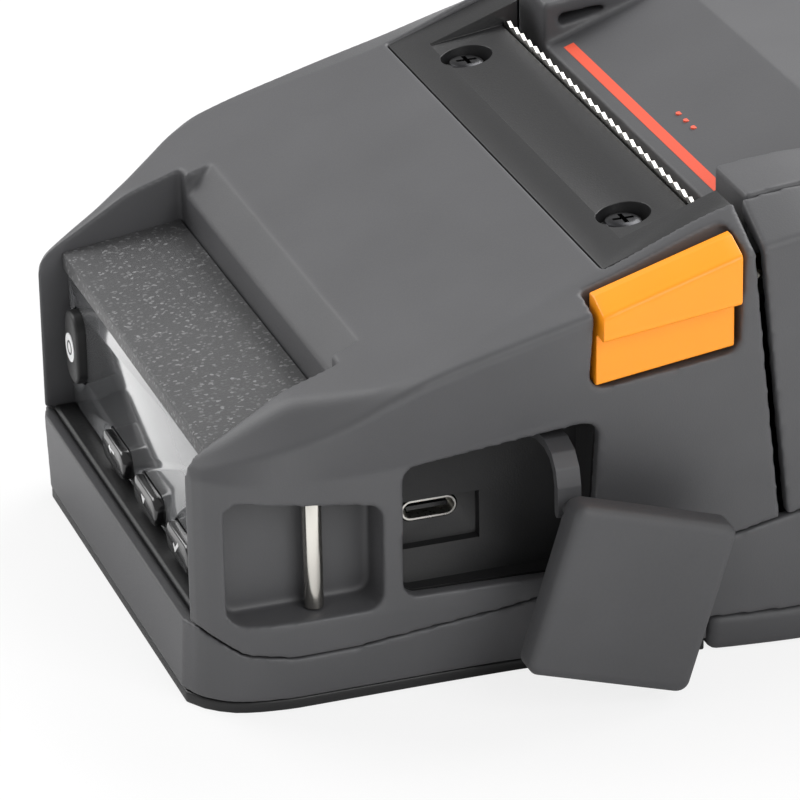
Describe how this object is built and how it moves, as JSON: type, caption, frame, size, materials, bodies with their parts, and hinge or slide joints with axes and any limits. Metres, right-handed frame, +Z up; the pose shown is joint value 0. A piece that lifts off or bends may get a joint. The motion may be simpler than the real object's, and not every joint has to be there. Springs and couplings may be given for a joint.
{
  "type": "mobile receipt printer",
  "caption": "Mobile receipt printer with a hinged paper lid, front display, keys, release lever, covered port and slide-in battery.",
  "frame": {"origin": "on the flat underside of the base plate, on the middle plane, under the middle of the body's length", "axes": "+Z up with the paper lid on top, -Y towards the display end, +X towards the port and the release lever"},
  "size_m": [0.1272, 0.1605, 0.077],
  "materials": {
    "grey_plastic": "fine grained moulding",
    "black_plastic": "satin moulding",
    "coarse_plastic": "coarse sparkling texture",
    "black_rubber": "matte",
    "orange_plastic": "satin moulding",
    "polished_steel": "polished",
    "dark_metal": "satin",
    "brass": "satin",
    "display_pane": "smooth, printed grey border",
    "display_screen": "smooth",
    "white_plastic": "plain",
    "circuit_board": "lacquered"
  },
  "bodies": {
    "case": {"upper_housing": "grey_plastic", "rear_housing": "grey_plastic", "lower_housing": "grey_plastic", "base_plate": "black_plastic", "base_screw_1": "polished_steel", "base_screw_2": "polished_steel", "base_screw_3": "polished_steel", "base_screw_4": "polished_steel", "battery_contacts": "brass", "front_gasket": "black_rubber", "brow_plate": "coarse_plastic", "display_window": "display_pane", "lcd_module": "display_screen", "strap_bar_left": "polished_steel", "strap_bar_right": "polished_steel", "port_panel": "black_plastic", "usb_receptacle": "polished_steel", "usb_tongue": "black_plastic", "port_cover_strap": "black_rubber", "screw_bar": "black_plastic", "bar_screw_left": "polished_steel", "bar_screw_right": "polished_steel", "tear_bar": "polished_steel", "lid_hinge_pin": "polished_steel", "print_frame": "dark_metal", "stepper_motor": "dark_metal", "head_spring_left": "polished_steel", "head_spring_right": "polished_steel", "roll_cradle": "black_plastic", "main_board": "circuit_board", "wireless_module": "dark_metal"},
    "lid": {"paper_lid": "grey_plastic", "lid_frame": "black_plastic", "platen_bush_left": "brass", "platen_bush_right": "brass"},
    "platen": {"platen_roller": "black_rubber", "platen_shaft": "polished_steel", "platen_gear": "white_plastic"},
    "idler": {"idler_gear": "white_plastic"},
    "pinion": {"motor_pinion": "brass"},
    "head": {"print_head": "white_plastic", "head_heat_sink": "dark_metal"},
    "lever": {"release_lever": "orange_plastic"},
    "latch": {"latch_shaft": "polished_steel"},
    "guide_left": {"paper_guide_left": "black_plastic"},
    "guide_right": {"paper_guide_right": "black_plastic"},
    "battery": {"battery_pack": "black_rubber"},
    "battery_catch": {"battery_latch": "black_plastic"},
    "cover": {"port_cover": "black_rubber"},
    "power": {"power_button": "black_rubber"},
    "key_left": {"left_key": "black_plastic"},
    "key_middle": {"middle_key": "black_plastic"},
    "key_right": {"right_key": "black_plastic"}
  },
  "joints": [
    {"name": "lid_hinge", "type": "hinge", "parent": "case", "child": "lid", "pos_m": [0, 0.0736, 0.064], "axis": [-1, 0, 0], "range_deg": [0, 95]},
    {"name": "platen_spin", "type": "hinge", "parent": "lid", "child": "platen", "pos_m": [0, 0.013, 0.0602], "axis": [1, 0, 0], "continuous": true},
    {"name": "idler_spin", "type": "hinge", "parent": "case", "child": "idler", "pos_m": [-0.0488, 0.013, 0.0469], "axis": [1, 0, 0], "continuous": true},
    {"name": "pinion_spin", "type": "hinge", "parent": "case", "child": "pinion", "pos_m": [-0.0488, 0.00409, 0.03799], "axis": [1, 0, 0], "continuous": true},
    {"name": "head_press", "type": "slide", "parent": "case", "child": "head", "axis": [0, -1, 0], "range_m": [0, 0.00025], "stiffness_N_per_m": 3000},
    {"name": "latch_turn", "type": "hinge", "parent": "case", "child": "latch", "pos_m": [0, -0.009, 0.056], "axis": [-1, 0, 0], "range_deg": [0, 6.5], "stiffness_Nm_per_rad": 0.4},
    {"name": "lever_hinge", "type": "hinge", "parent": "case", "child": "lever", "pos_m": [0.0545, -0.0071, 0.068], "axis": [0, -0.9585, -0.2852], "range_deg": [0, 22]},
    {"name": "guide_right_slide", "type": "slide", "parent": "case", "child": "guide_right", "axis": [-1, 0, 0], "range_m": [0, 0.014]},
    {"name": "guide_left_slide", "type": "slide", "parent": "case", "child": "guide_left", "axis": [1, 0, 0], "range_m": [0, 0.014]},
    {"name": "battery_slide", "type": "slide", "parent": "case", "child": "battery", "axis": [0, 1, 0], "range_m": [0, 0.06]},
    {"name": "battery_latch_slide", "type": "slide", "parent": "battery", "child": "battery_catch", "axis": [1, 0, 0], "range_m": [0, 0.0024], "stiffness_N_per_m": 400},
    {"name": "cover_swing", "type": "hinge", "parent": "case", "child": "cover", "pos_m": [0.0605, -0.0236, 0.0334], "axis": [1, 0, 0], "range_deg": [0, 60]},
    {"name": "power_press", "type": "slide", "parent": "case", "child": "power", "axis": [0, 1, 0], "range_m": [0, 0.0008], "stiffness_N_per_m": 1500},
    {"name": "key_left_press", "type": "slide", "parent": "case", "child": "key_left", "axis": [0, 1, 0], "range_m": [0, 0.0008], "stiffness_N_per_m": 1500},
    {"name": "key_middle_press", "type": "slide", "parent": "case", "child": "key_middle", "axis": [0, 1, 0], "range_m": [0, 0.0008], "stiffness_N_per_m": 1500},
    {"name": "key_right_press", "type": "slide", "parent": "case", "child": "key_right", "axis": [0, 1, 0], "range_m": [0, 0.0008], "stiffness_N_per_m": 1500}
  ],
  "couplings": [
    {"joint": "idler_spin", "follows": "platen_spin", "ratio": -0.58333},
    {"joint": "pinion_spin", "follows": "platen_spin", "ratio": 1.1667},
    {"joint": "lever_hinge", "follows": "latch_turn", "ratio": 3.3333},
    {"joint": "guide_left_slide", "follows": "guide_right_slide", "ratio": 1}
  ]
}
